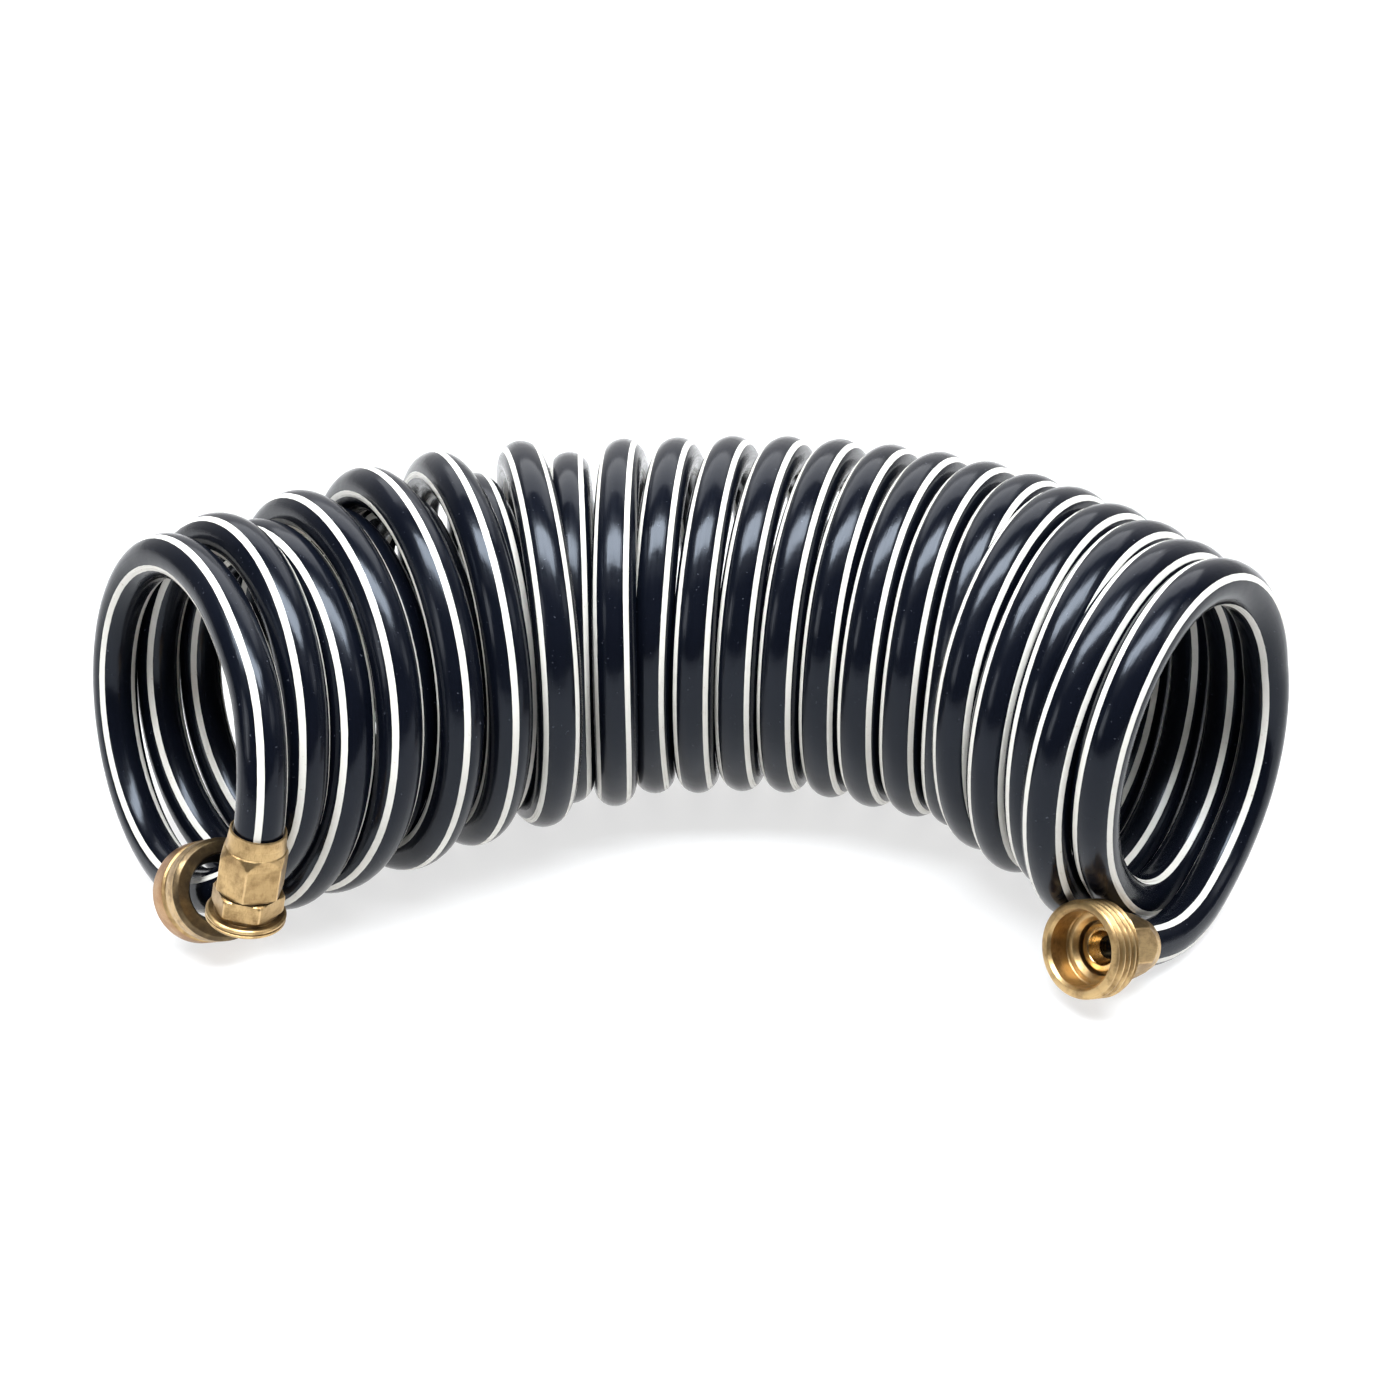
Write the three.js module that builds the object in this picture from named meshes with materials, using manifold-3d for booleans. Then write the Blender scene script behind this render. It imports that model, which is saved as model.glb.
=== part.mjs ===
// A self-coiling garden hose lying in its coil on a floor, with brass hose couplings on both ends.
// Units are millimetres and +Z is up. The origin is at the middle of the footprint, on the floor.
// The open side of the curved coil faces -Y, the swivel end is at -X and the threaded end at +X.
import * as THREE from "three";
import { mergeVertices } from "three/addons/utils/BufferGeometryUtils.js";
import Module from "manifold-3d";

const wasm = await Module();
wasm.setup();

// ---- Driving dimensions ----
const FLOOR_GAP = 0.15;
const PIECE_GAP = 0.3;

const HOSE_RADIUS = 6.45;
const HOSE_BORE_RADIUS = 4.9;
const HOSE_SIDES = 12;
const FIRST_LOOP_SEGMENTS = 40;
const LAST_LOOP_SEGMENTS = 30;

// The turns of the coil stand side by side along a curved axis. One row for every third turn:
// x and y of the turn's centre, the heading of the axis and the lean of the turn, in degrees.
const COIL_RADIUS = 50;
const TURNS_PER_ROW = 3;
const COIL_ROWS = [
  [-145, -32, 40, 16],
  [-112, -12, 41, 13],
  [-84, 7, 32, 7],
  [-49, 24, 16, 1],
  [-6, 37, -2, -1],
  [42, 37, -13, -1],
  [85, 21, -24, -3],
  [114, -7, -36, -5],
  [134, -41, -43, -6],
];
// The body of the coil runs between these turns; the turns outside it are the two free end loops.
const BODY_FIRST_TURN = 1.62;
const BODY_LAST_TURN = 23.4;
const BODY_STATIONS = 17;
const BODY_SEGMENTS = 28;

// The first loop is a flat circle. Angles count from its front, over the top and round the back.
const LOOP_CENTRE = new THREE.Vector3(-141.2, -28.8, 57);
const LOOP_RADIUS = 48;
const LOOP_HEADING = 38.8;
const LOOP_LEAN = 12.6;
const LOOP_STEP = 10;
const LOOP_START_ANGLE = 95;
const LOOP_END_ANGLE = 295;
const NUT_ANGLE = 302;
// Between these turns the hose swings sideways from the loop into the coil, bulging beside the
// hanging coupling.
const JOIN_START = 0.82;
const JOIN_END = 1;
const JOIN_STEP = 0.02;
const BULGE = 2;
const BULGE_TURN = 0.92;
const BULGE_SPREAD = 0.06;

// Where each coupling sits: the centre of its outer end face and the direction towards the hose.
const STEM_FACE = new THREE.Vector3(-115.7, -80.2, 28);
const STEM_AXIS = new THREE.Vector3(6.6, 2.2, 27).normalize();
const STEM_LENGTH = 28;
const STEM_HOSE_START = 15;
const SOCKET_FACE = new THREE.Vector3(107.8, -82.9, 19);
const SOCKET_AXIS = new THREE.Vector3(0.788, 0.512, -0.342).normalize();
const SOCKET_LENGTH = 26;
const SOCKET_HOSE_START = 15.6;

// The last loop follows the coil between these turns.
const LAST_LOOP_START = 24.04;
const LAST_LOOP_END = 24.66;
const LAST_LOOP_STEP = 0.04;

// The free stretches between a coupling and its end loop, as points chosen along the hose.
const FIRST_STRETCH = [
  [-107, -73, 73],
  [-109, -63, 87],
  [-115.5, -49.5, 97],
  [-124.5, -34, 102.5],
];
const LAST_STRETCH = [
  [155.5, -40.1, 9.9],
  [147.8, -50.7, 6.9],
  [139.1, -60.6, 6.8],
];

// Garden hose thread and the brass pieces turned for it.
const THREAD_PITCH = 2.21;
const THREAD_MAJOR_RADIUS = 13.45;
const THREAD_MINOR_RADIUS = 12.25;
const WATERWAY_RADIUS = 3.2;
const INSERT_RADIUS = 4.9;
const BARB_RADIUS = 4.6;
const BARB_STEP = 3;
const NIPPLE_RADIUS = 7.2;
const CLAMP_BORE_RADIUS = 7.5;
const HOSE_HOLE_RADIUS = HOSE_RADIUS + PIECE_GAP;

const UP = new THREE.Vector3(0, 0, 1);
const ROUND = 30;

// ---- Materials ----
const hoseMaterial = () =>
  new THREE.MeshStandardMaterial({ color: 0x10141f, roughness: 0.25, metalness: 0 });
const brassMaterial = () =>
  new THREE.MeshStandardMaterial({ color: 0xc9a063, roughness: 0.35, metalness: 1 });
const rubberMaterial = () =>
  new THREE.MeshStandardMaterial({ color: 0x141414, roughness: 0.8, metalness: 0 });

// ---- Solids ----
function solid(geometry) {
  const bare = geometry.clone();
  bare.deleteAttribute("normal");
  bare.deleteAttribute("uv");
  const merged = mergeVertices(bare, 1e-4);
  return new wasm.Manifold(
    new wasm.Mesh({
      numProp: 3,
      vertProperties: merged.attributes.position.array,
      triVerts: new Uint32Array(merged.index.array),
    }),
  );
}

function geometryOf(manifold) {
  const mesh = manifold.getMesh();
  const geometry = new THREE.BufferGeometry();
  geometry.setAttribute("position", new THREE.BufferAttribute(mesh.vertProperties, 3));
  geometry.setIndex(new THREE.BufferAttribute(mesh.triVerts, 1));
  geometry.computeVertexNormals();
  return geometry;
}

// A piece turned on a lathe about Z, from [radius, height] pairs going up the outside.
function turned(profile) {
  const points = profile.map(([radius, height]) => new THREE.Vector2(radius, height));
  return new THREE.LatheGeometry(points, ROUND).rotateX(Math.PI / 2);
}

// A turned ring: the profile closes on itself.
const turnedRing = (profile) => turned([...profile, profile[0]]);

// A round bar about Z between two heights, used as a body or as a bore.
const bar = (radius, low, high) =>
  turned([[0, low], [radius, low], [radius, high], [0, high]]);

function hexagon(acrossFlats, low, high) {
  const corner = acrossFlats / Math.sqrt(3);
  const shape = new THREE.Shape();
  for (let side = 0; side < 6; side += 1) {
    const angle = (side * Math.PI) / 3;
    const x = corner * Math.cos(angle);
    const y = corner * Math.sin(angle);
    if (side === 0) shape.moveTo(x, y);
    else shape.lineTo(x, y);
  }
  const geometry = new THREE.ExtrudeGeometry(shape, { depth: high - low, bevelEnabled: false });
  return geometry.translate(0, 0, low);
}

const object = new THREE.Group();

function addNode(parent, name, geometry, material) {
  const mesh = new THREE.Mesh(geometry, material);
  mesh.name = name;
  parent.add(mesh);
  return mesh;
}

// A group whose own Z runs along the given axis from the given point.
function frameAt(point, axis) {
  const frame = new THREE.Group();
  frame.position.copy(point);
  frame.quaternion.setFromUnitVectors(UP, axis);
  object.add(frame);
  return frame;
}

const toVector = ([x, y, z]) => new THREE.Vector3(x, y, z);

// ---- The coil's shape ----
// Unit vectors of a turn: towards its front, along its axis, and up in its own plane.
function turnDirections(headingDegrees, leanDegrees) {
  const heading = THREE.MathUtils.degToRad(headingDegrees);
  const lean = THREE.MathUtils.degToRad(leanDegrees);
  const front = new THREE.Vector3(Math.sin(heading), -Math.cos(heading), 0);
  const along = new THREE.Vector3(Math.cos(heading), Math.sin(heading), 0);
  const up = along.clone().multiplyScalar(Math.sin(lean)).addScaledVector(UP, Math.cos(lean));
  return { front, along, up };
}

// Smooth value between the rows of the coil's table, by a uniform Catmull-Rom curve.
function rowValue(turn, column) {
  const last = COIL_ROWS.length - 1;
  const place = turn / TURNS_PER_ROW;
  const index = Math.min(Math.max(Math.floor(place), 0), last - 1);
  const w = place - index;
  const value = (row) => COIL_ROWS[row][column];
  const b = value(index);
  const c = value(index + 1);
  const a = index > 0 ? value(index - 1) : 2 * b - c;
  const d = index + 2 <= last ? value(index + 2) : 2 * c - b;
  return b + 0.5 * w * (c - a + w * (2 * a - 5 * b + 4 * c - d + w * (3 * (b - c) + d - a)));
}

// A point of the coil: turn counts along it, angle goes round it, radius is from the axis.
function coilPoint(turn, angle, radius) {
  const { front, up } = turnDirections(rowValue(turn, 2), rowValue(turn, 3));
  const height = COIL_RADIUS * up.z + HOSE_RADIUS + FLOOR_GAP;
  return new THREE.Vector3(rowValue(turn, 0), rowValue(turn, 1), height)
    .addScaledVector(front, radius * Math.cos(angle))
    .addScaledVector(up, radius * Math.sin(angle));
}

const loop = turnDirections(LOOP_HEADING, LOOP_LEAN);

function loopPoint(degrees) {
  const angle = THREE.MathUtils.degToRad(degrees);
  return LOOP_CENTRE.clone()
    .addScaledVector(loop.front, LOOP_RADIUS * Math.cos(angle))
    .addScaledVector(loop.up, LOOP_RADIUS * Math.sin(angle));
}

function loopDirection(degrees) {
  const angle = THREE.MathUtils.degToRad(degrees);
  return loop.up.clone().multiplyScalar(Math.cos(angle))
    .addScaledVector(loop.front, -Math.sin(angle));
}

// The body of the coil: a thick tube as wide as the hose, bent along the coil's curved axis.
function coilBody() {
  const inner = COIL_RADIUS - HOSE_RADIUS;
  const outer = COIL_RADIUS + HOSE_RADIUS;
  const stations = [];
  for (let k = 0; k <= BODY_STATIONS; k += 1)
    stations.push(BODY_FIRST_TURN + ((BODY_LAST_TURN - BODY_FIRST_TURN) * k) / BODY_STATIONS);
  const profile = [
    ...stations.map((turn) => new THREE.Vector2(inner, turn)),
    ...stations.reverse().map((turn) => new THREE.Vector2(outer, turn)),
  ];
  profile.push(profile[0].clone());
  const geometry = new THREE.LatheGeometry(profile, BODY_SEGMENTS);
  const place = geometry.attributes.position;
  for (let k = 0; k < place.count; k += 1) {
    const x = place.getX(k);
    const z = place.getZ(k);
    const point = coilPoint(place.getY(k), Math.atan2(x, z), Math.hypot(x, z));
    place.setXYZ(k, point.x, point.y, point.z);
  }
  return geometry;
}

function hoseTube(points, segments) {
  const section = new THREE.Shape();
  section.absarc(0, 0, HOSE_RADIUS, 0, 2 * Math.PI, false);
  return new THREE.ExtrudeGeometry(section, {
    steps: segments,
    curveSegments: HOSE_SIDES / 2,
    extrudePath: new THREE.CatmullRomCurve3(points, false, "chordal"),
  });
}

// The bore that a coupling's barb fills in the end of the hose.
function barbBore(face, axis, low, high) {
  const geometry = bar(HOSE_BORE_RADIUS, low - 1, high);
  const turn = new THREE.Quaternion().setFromUnitVectors(UP, axis);
  return geometry.applyQuaternion(turn).translate(face.x, face.y, face.z);
}

const onAxis = (face, axis, distance) => face.clone().addScaledVector(axis, distance);

// ---- The hose ----
// The first loop: up from the swivel coupling, over the top, round the back and under to the nut.
function firstLoop() {
  const points = [STEM_HOSE_START, STEM_LENGTH - 6, STEM_LENGTH + 1].map((distance) =>
    onAxis(STEM_FACE, STEM_AXIS, distance),
  );
  points.push(...FIRST_STRETCH.map(toVector));
  for (let angle = LOOP_START_ANGLE; angle <= LOOP_END_ANGLE; angle += LOOP_STEP)
    points.push(loopPoint(angle));
  const joined = joinToCoil();
  const tube = hoseTube([...points, ...joined], FIRST_LOOP_SEGMENTS);
  const bore = barbBore(STEM_FACE, STEM_AXIS, STEM_HOSE_START, STEM_LENGTH);
  return geometryOf(solid(tube).subtract(solid(bore)));
}

// From the nut up to the front of the second turn.
function joinToCoil() {
  const points = [];
  for (let turn = JOIN_START + JOIN_STEP; turn < JOIN_END + 0.01; turn += JOIN_STEP) {
    const share = THREE.MathUtils.smoothstep(turn, JOIN_START, JOIN_END);
    const bulge = BULGE * Math.exp(-(((turn - BULGE_TURN) / BULGE_SPREAD) ** 2));
    const onCoil = coilPoint(turn, 2 * Math.PI * turn, COIL_RADIUS);
    points.push(loopPoint(360 * turn).lerp(onCoil, share).addScaledVector(loop.along, bulge));
  }
  return points;
}

// The last loop: over the top of the last turn, down its back and under to the threaded coupling.
function lastLoop() {
  const points = [];
  for (let turn = LAST_LOOP_START; turn < LAST_LOOP_END; turn += LAST_LOOP_STEP)
    points.push(coilPoint(turn, 2 * Math.PI * turn, COIL_RADIUS));
  points.push(...LAST_STRETCH.map(toVector));
  for (const distance of [SOCKET_LENGTH + 1, SOCKET_LENGTH - 5, SOCKET_HOSE_START])
    points.push(onAxis(SOCKET_FACE, SOCKET_AXIS, distance));
  const tube = hoseTube(points, LAST_LOOP_SEGMENTS);
  const bore = barbBore(SOCKET_FACE, SOCKET_AXIS, SOCKET_HOSE_START, SOCKET_LENGTH);
  return geometryOf(solid(tube).subtract(solid(bore)));
}

addNode(object, "coil_body", coilBody(), hoseMaterial());
addNode(object, "first_loop", firstLoop(), hoseMaterial());
addNode(object, "last_loop", lastLoop(), hoseMaterial());

// ---- The pieces that both couplings share ----
// The outline of a barbed tail from one height to another.
function barbProfile(low, high) {
  const root = BARB_RADIUS - 0.6;
  const points = [[root, low]];
  for (let height = low + BARB_STEP; height < high; height += BARB_STEP)
    points.push([BARB_RADIUS, height], [root, height]);
  points.push([root, high]);
  return points;
}

// A thin split ring that the clamp nut squeezes onto the hose.
function clampSleeve(low, high) {
  const inner = HOSE_HOLE_RADIUS;
  const outer = CLAMP_BORE_RADIUS - PIECE_GAP;
  const ring = turnedRing([[inner, low], [outer, low], [outer, high], [inner, high]]);
  const slot = new THREE.BoxGeometry(4, 1.2, high - low + 2);
  slot.translate(HOSE_RADIUS + 1, 0, (low + high) / 2);
  return geometryOf(solid(ring).subtract(solid(slot)));
}

// Hexagon, round shoulder and taper, screwed over the nipple to hold the hose on its barb.
function clampNut(hexLow, hexHigh, acrossFlats, shoulderRadius, top) {
  const outside = solid(
    turned([
      [0, hexHigh],
      [shoulderRadius, hexHigh],
      [shoulderRadius, hexHigh + 1.6],
      [shoulderRadius - 0.4, hexHigh + 2],
      [HOSE_HOLE_RADIUS + 0.8, top],
      [0, top],
    ]),
  ).add(solid(hexagon(acrossFlats, hexLow, hexHigh + 0.2)));
  const bore = solid(bar(CLAMP_BORE_RADIUS, hexLow - 1, top - 4));
  const mouth = solid(bar(HOSE_HOLE_RADIUS, top - 5, top + 1));
  return geometryOf(outside.subtract(bore).subtract(mouth));
}

// ---- Swivel coupling on the first end ----
const NIPPLE_TOP = 14.2;
const SEAT_FLOOR = 4.8;
const HEX_TOP = 9.2;

// Flange, neck, hexagon and threaded nipple, bored through for the water and the insert.
function stemBody() {
  const outside = turned([
    [0, 0],
    [10.1, 0],
    [10.6, 0.5],
    [10.6, 1.1],
    [10.2, 1.3],
    [10.6, 1.5],
    [10.6, 2.1],
    [10.1, 2.6],
    [8.4, 2.6],
    [8.4, 4],
    [NIPPLE_RADIUS, 4.4],
    [NIPPLE_RADIUS, NIPPLE_TOP],
    [0, NIPPLE_TOP],
  ]);
  const waterway = bar(WATERWAY_RADIUS + PIECE_GAP, -1, SEAT_FLOOR + 1);
  const seat = bar(INSERT_RADIUS + PIECE_GAP, SEAT_FLOOR, NIPPLE_TOP + 1);
  return geometryOf(
    solid(outside)
      .add(solid(hexagon(16.8, 3.8, HEX_TOP)))
      .subtract(solid(waterway))
      .subtract(solid(seat)),
  );
}

function stemInsert() {
  const low = SEAT_FLOOR + PIECE_GAP;
  const high = STEM_LENGTH - 1.5;
  return turnedRing([
    [WATERWAY_RADIUS, low],
    [INSERT_RADIUS, low],
    [INSERT_RADIUS, NIPPLE_TOP],
    ...barbProfile(NIPPLE_TOP, high),
    [WATERWAY_RADIUS, high],
  ]);
}

const stemFrame = frameAt(STEM_FACE, STEM_AXIS);
addNode(stemFrame, "swivel_stem", stemBody(), brassMaterial());
addNode(stemFrame, "stem_hose_barb", stemInsert(), brassMaterial());
addNode(stemFrame, "stem_clamp_sleeve", clampSleeve(15, 23.6), brassMaterial());
const stemClamp = clampNut(HEX_TOP + 0.4, 19.4, 16.2, 9.3, STEM_LENGTH);
// It stopped turning with a corner where the stem's own hexagon has a flat.
addNode(stemFrame, "stem_clamp_nut", stemClamp, brassMaterial()).rotateZ(Math.PI / 6);

// ---- The loose swivel nut and its washer, on the first loop ----
const NUT_LENGTH = 16;
const NUT_RADIUS = 14.6;
const NUT_LIP = 2.4;
const NUT_THREAD_RADIUS = 12.7;
const NUT_HOLE_RADIUS = 9.9;
const WASHER_HEIGHT = -1.5;

// Height zero is the middle of the nut and +Z is its lipped end, which catches the flange.
function swivelNut() {
  const half = NUT_LENGTH / 2;
  const lip = half - NUT_LIP;
  const thread = [];
  for (let height = lip - 1; height > -half + THREAD_PITCH; height -= THREAD_PITCH)
    thread.push(
      [NUT_THREAD_RADIUS, height],
      [NUT_THREAD_RADIUS + 0.9, height - THREAD_PITCH / 2],
    );
  return turnedRing([
    [NUT_THREAD_RADIUS + 0.9, -half],
    [NUT_RADIUS - 0.5, -half],
    [NUT_RADIUS, -half + 0.5],
    [NUT_RADIUS, -1.2],
    [NUT_RADIUS - 0.7, -0.4],
    [NUT_RADIUS - 0.7, 1.2],
    [NUT_RADIUS, 2],
    [NUT_RADIUS, half - 1.2],
    [NUT_RADIUS - 1.2, half],
    [NUT_HOLE_RADIUS + 0.5, half],
    [NUT_HOLE_RADIUS, half - 0.5],
    [NUT_HOLE_RADIUS, lip],
    [NUT_THREAD_RADIUS, lip],
    ...thread,
  ]);
}

function washer() {
  const inner = HOSE_RADIUS + 1.5;
  const outer = NUT_THREAD_RADIUS - PIECE_GAP;
  const high = WASHER_HEIGHT + 3;
  return turnedRing([
    [inner, WASHER_HEIGHT],
    [outer, WASHER_HEIGHT],
    [outer, high],
    [inner, high],
  ]);
}

const nutFrame = frameAt(loopPoint(NUT_ANGLE), loopDirection(NUT_ANGLE));
addNode(nutFrame, "swivel_nut", swivelNut(), brassMaterial());
addNode(nutFrame, "nut_washer", washer(), rubberMaterial());

// ---- Threaded coupling on the last end ----
const CUP_DEPTH = 9;
const THREAD_LENGTH = 10;
const HEAD_RADIUS = 6.6;

// Threaded cup, neck, hexagon and nipple. Height zero is the rim and +Z is towards the hose.
function socketBody() {
  const thread = [];
  for (let height = 1.2; height < THREAD_LENGTH - 1; height += THREAD_PITCH)
    thread.push(
      [THREAD_MINOR_RADIUS, height],
      [THREAD_MAJOR_RADIUS, height + THREAD_PITCH / 2],
    );
  const outside = turned([
    [0, 0],
    [THREAD_MINOR_RADIUS, 0],
    [THREAD_MAJOR_RADIUS - 0.3, 0.3],
    [THREAD_MAJOR_RADIUS - 0.3, 0.9],
    ...thread,
    [THREAD_MINOR_RADIUS, THREAD_LENGTH],
    [8.6, THREAD_LENGTH + 1.6],
    [8.6, THREAD_LENGTH + 2],
    [NIPPLE_RADIUS, THREAD_LENGTH + 2.4],
    [NIPPLE_RADIUS, THREAD_LENGTH + 5],
    [0, THREAD_LENGTH + 5],
  ]);
  const cup = turned([
    [0, -1],
    [10.9, -1],
    [10.9, 0],
    [10.4, 0.6],
    [10.4, CUP_DEPTH - 1.4],
    [8.6, CUP_DEPTH - 1.4],
    [7.6, CUP_DEPTH],
    [7.6, THREAD_LENGTH + 1.6],
    [INSERT_RADIUS + PIECE_GAP, THREAD_LENGTH + 1.6],
    [INSERT_RADIUS + PIECE_GAP, THREAD_LENGTH + 6],
    [0, THREAD_LENGTH + 6],
  ]);
  return geometryOf(solid(outside).subtract(solid(cup)));
}

function socketInsert() {
  const low = CUP_DEPTH + 0.6;
  const seat = THREAD_LENGTH + 1.6 - PIECE_GAP;
  const step = THREAD_LENGTH + 5;
  const high = SOCKET_LENGTH - 1.5;
  return turnedRing([
    [WATERWAY_RADIUS, low + 1.4],
    [4.9, low],
    [HEAD_RADIUS - 0.4, low],
    [HEAD_RADIUS, low + 0.4],
    [HEAD_RADIUS, seat],
    [INSERT_RADIUS, seat],
    [INSERT_RADIUS, step],
    ...barbProfile(step, high),
    [WATERWAY_RADIUS, high],
  ]);
}

const socketFrame = frameAt(SOCKET_FACE, SOCKET_AXIS);
addNode(socketFrame, "threaded_socket", socketBody(), brassMaterial());
addNode(socketFrame, "socket_hose_barb", socketInsert(), brassMaterial());
const socketHexLow = THREAD_LENGTH + 2.7;
addNode(socketFrame, "socket_clamp_sleeve", clampSleeve(15.6, 21.6), brassMaterial());
const socketClamp = clampNut(socketHexLow, 22.6, 16.4, 8.8, SOCKET_LENGTH);
addNode(socketFrame, "socket_clamp_nut", socketClamp, brassMaterial());

export default object;
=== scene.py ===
"""A self-coiling garden hose with brass couplings, lying on a pale floor."""
import math

import bpy
import numpy as np
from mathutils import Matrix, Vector


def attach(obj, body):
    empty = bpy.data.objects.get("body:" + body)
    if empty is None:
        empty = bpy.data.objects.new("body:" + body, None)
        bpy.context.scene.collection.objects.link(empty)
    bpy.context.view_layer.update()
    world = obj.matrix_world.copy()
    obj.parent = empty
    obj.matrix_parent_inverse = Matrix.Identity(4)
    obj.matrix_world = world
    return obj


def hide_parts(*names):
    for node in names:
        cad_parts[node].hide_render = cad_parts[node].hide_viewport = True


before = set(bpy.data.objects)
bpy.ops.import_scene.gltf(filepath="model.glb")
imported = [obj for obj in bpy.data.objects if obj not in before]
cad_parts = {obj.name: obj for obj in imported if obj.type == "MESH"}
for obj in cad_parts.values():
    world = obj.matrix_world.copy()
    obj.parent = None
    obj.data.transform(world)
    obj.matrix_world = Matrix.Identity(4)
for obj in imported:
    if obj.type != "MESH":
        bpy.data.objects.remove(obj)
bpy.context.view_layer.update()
MM = 0.001

# ---- Camera: place, aim and lens in millimetres ----
CAMERA_PLACE, CAMERA_AIM = (6.0, -450.3, 314.3), (6.0, 39.0, 24.95)
CAMERA_LENS, CAMERA_SENSOR = 44.6, 36.0
camera_data = bpy.data.cameras.new("camera")
camera_data.lens = CAMERA_LENS
camera_data.sensor_width = CAMERA_SENSOR
camera = bpy.data.objects.new("camera", camera_data)
bpy.context.scene.collection.objects.link(camera)
camera.location = Vector(CAMERA_PLACE) * MM
aim = Vector(CAMERA_AIM) * MM
camera.rotation_mode = "QUATERNION"
camera.rotation_quaternion = (aim - camera.location).to_track_quat("-Z", "Y")
bpy.context.scene.camera = camera

# ---- The hose's route, in millimetres and degrees ----
# Turns are counted from the hose's first front, and a whole number is the front of a turn.
HOSE_RADIUS = 6.45
FLOOR_GAP = 0.15
COIL_RADIUS = 50.0
TURNS_PER_ROW = 3
# x and y of the turn's centre, heading of the coil's axis and lean of the turn, every third turn.
COIL_ROWS = np.array([
    (-145, -32, 40, 16),
    (-112, -12, 41, 13),
    (-84, 7, 32, 7),
    (-49, 24, 16, 1),
    (-6, 37, -2, -1),
    (42, 37, -13, -1),
    (85, 21, -24, -3),
    (114, -7, -36, -5),
    (134, -41, -43, -6),
], float)
# Around PROUD_TURN the odd turns are wider by up to this much, and the even turns narrower.
PROUD, PROUD_TURN, PROUD_SPREAD = 4.2, 6.5, 4.0
# Local shifts of the hose: turn, spread in turns, and how far along the axis, to the front and up.
SHIFTS = (
    (1.25, 0.16, 0.0, 0.0, 3.4),
    (21.92, 0.22, -1.0, -1.0, 0.0),
    (22.92, 0.22, -2.0, -2.5, 0.0),
    (23.88, 0.19, -3.5, -8.5, -1.5),
)
# From GAPE_START the backs of the turns stand further along the axis, less and less up to GAPE_END.
GAPE, GAPE_START, GAPE_END, GAPE_FADE = 6.5, 3.0, 9.0, 0.3

# The flat first loop, the nut's place on it, and the stretch in turns where it joins the coil.
LOOP_CENTRE = np.array((-141.2, -28.8, 57.0))
LOOP_RADIUS, LOOP_HEADING, LOOP_LEAN = 48.0, 38.8, 12.6
LOOP_ANGLES = range(95, 296, 10)
NUT_ANGLE = 302.0
JOIN_START, JOIN_END, JOIN_STEP = 0.82, 1.0, 0.02
BULGE, BULGE_TURN, BULGE_SPREAD = 2.0, 0.92, 0.06
COIL_START, COIL_END, ROUTE_STEP = 1.04, 24.66, 0.04


def unit(*vector):
    """The vector at length 1."""
    return np.array(vector) / np.linalg.norm(vector)


# Each coupling: its end face, the way from there into the hose, and distances along that way.
STEM_FACE, STEM_AXIS = np.array((-115.7, -80.2, 28.0)), unit(6.6, 2.2, 27.0)
STEM_LENGTH, STEM_HOSE_START = 28.0, 15.0
SOCKET_FACE, SOCKET_AXIS = np.array((107.8, -82.9, 19.0)), unit(0.788, 0.512, -0.342)
SOCKET_LENGTH, SOCKET_HOSE_START = 26.0, 15.6
# The hose between a coupling and the first loop or the last turn.
FIRST_STRETCH = [(-107, -73, 73), (-109, -63, 87), (-115.5, -49.5, 97), (-124.5, -34, 102.5)]
LAST_STRETCH = [(155.5, -40.1, 9.9), (147.8, -50.7, 6.9), (139.1, -60.6, 6.8)]
NUT_RADIUS, NUT_LENGTH = 14.6, 16.0
FLANGE_RADIUS = 10.6
THREAD_LENGTH, SOCKET_RADIUS = 10.0, 13.45
HOSE_STEP = 4.0
SPLINE_CUTS = 16


def even(line, step):
    """The line's points moved to even steps along it."""
    length = np.r_[0, np.cumsum(np.linalg.norm(np.diff(line, axis=0), axis=1))]
    places = np.linspace(0, length[-1], int(round(length[-1] / step)) + 1)
    return np.column_stack([np.interp(places, length, line[:, k]) for k in range(3)])


def chordal_spline(points, step):
    """Chordal Catmull-Rom curve through the points, cut at even steps along its length."""
    p = np.asarray(points, float)
    p = np.vstack([2 * p[0] - p[1], p, 2 * p[-1] - p[-2]])
    chord = np.linalg.norm(np.diff(p, axis=0), axis=1)
    a, b, c, d = (p[k : len(p) - 3 + k, None, :] for k in range(4))
    before, here, after = (chord[k : len(chord) - 2 + k, None, None] for k in range(3))
    start = ((b - a) / before - (c - a) / (before + here) + (c - b) / here) * here
    end = ((c - b) / here - (d - b) / (here + after) + (d - c) / after) * here
    w = np.linspace(0, 1, SPLINE_CUTS, endpoint=False)[None, :, None]
    fine = b + start * w
    fine = fine + (3 * (c - b) - 2 * start - end) * w**2 + (2 * (b - c) + start + end) * w**3
    return even(np.vstack([fine.reshape(-1, 3), p[-2]]), step)


def rows_at(turn):
    """x, y, heading and lean of the coil's axis at these turns, on a uniform Catmull-Rom curve."""
    first = 2 * COIL_ROWS[0] - COIL_ROWS[1]
    last = 2 * COIL_ROWS[-1] - COIL_ROWS[-2]
    rows = np.vstack([first, COIL_ROWS, last])
    place = np.atleast_1d(turn) / TURNS_PER_ROW
    index = np.clip(np.floor(place).astype(int), 0, len(COIL_ROWS) - 2)
    w = (place - index)[:, None]
    a, b, c, d = (rows[index + k] for k in range(4))
    return b + 0.5 * w * (c - a + w * (2 * a - 5 * b + 4 * c - d + w * (3 * (b - c) + d - a)))


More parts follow.
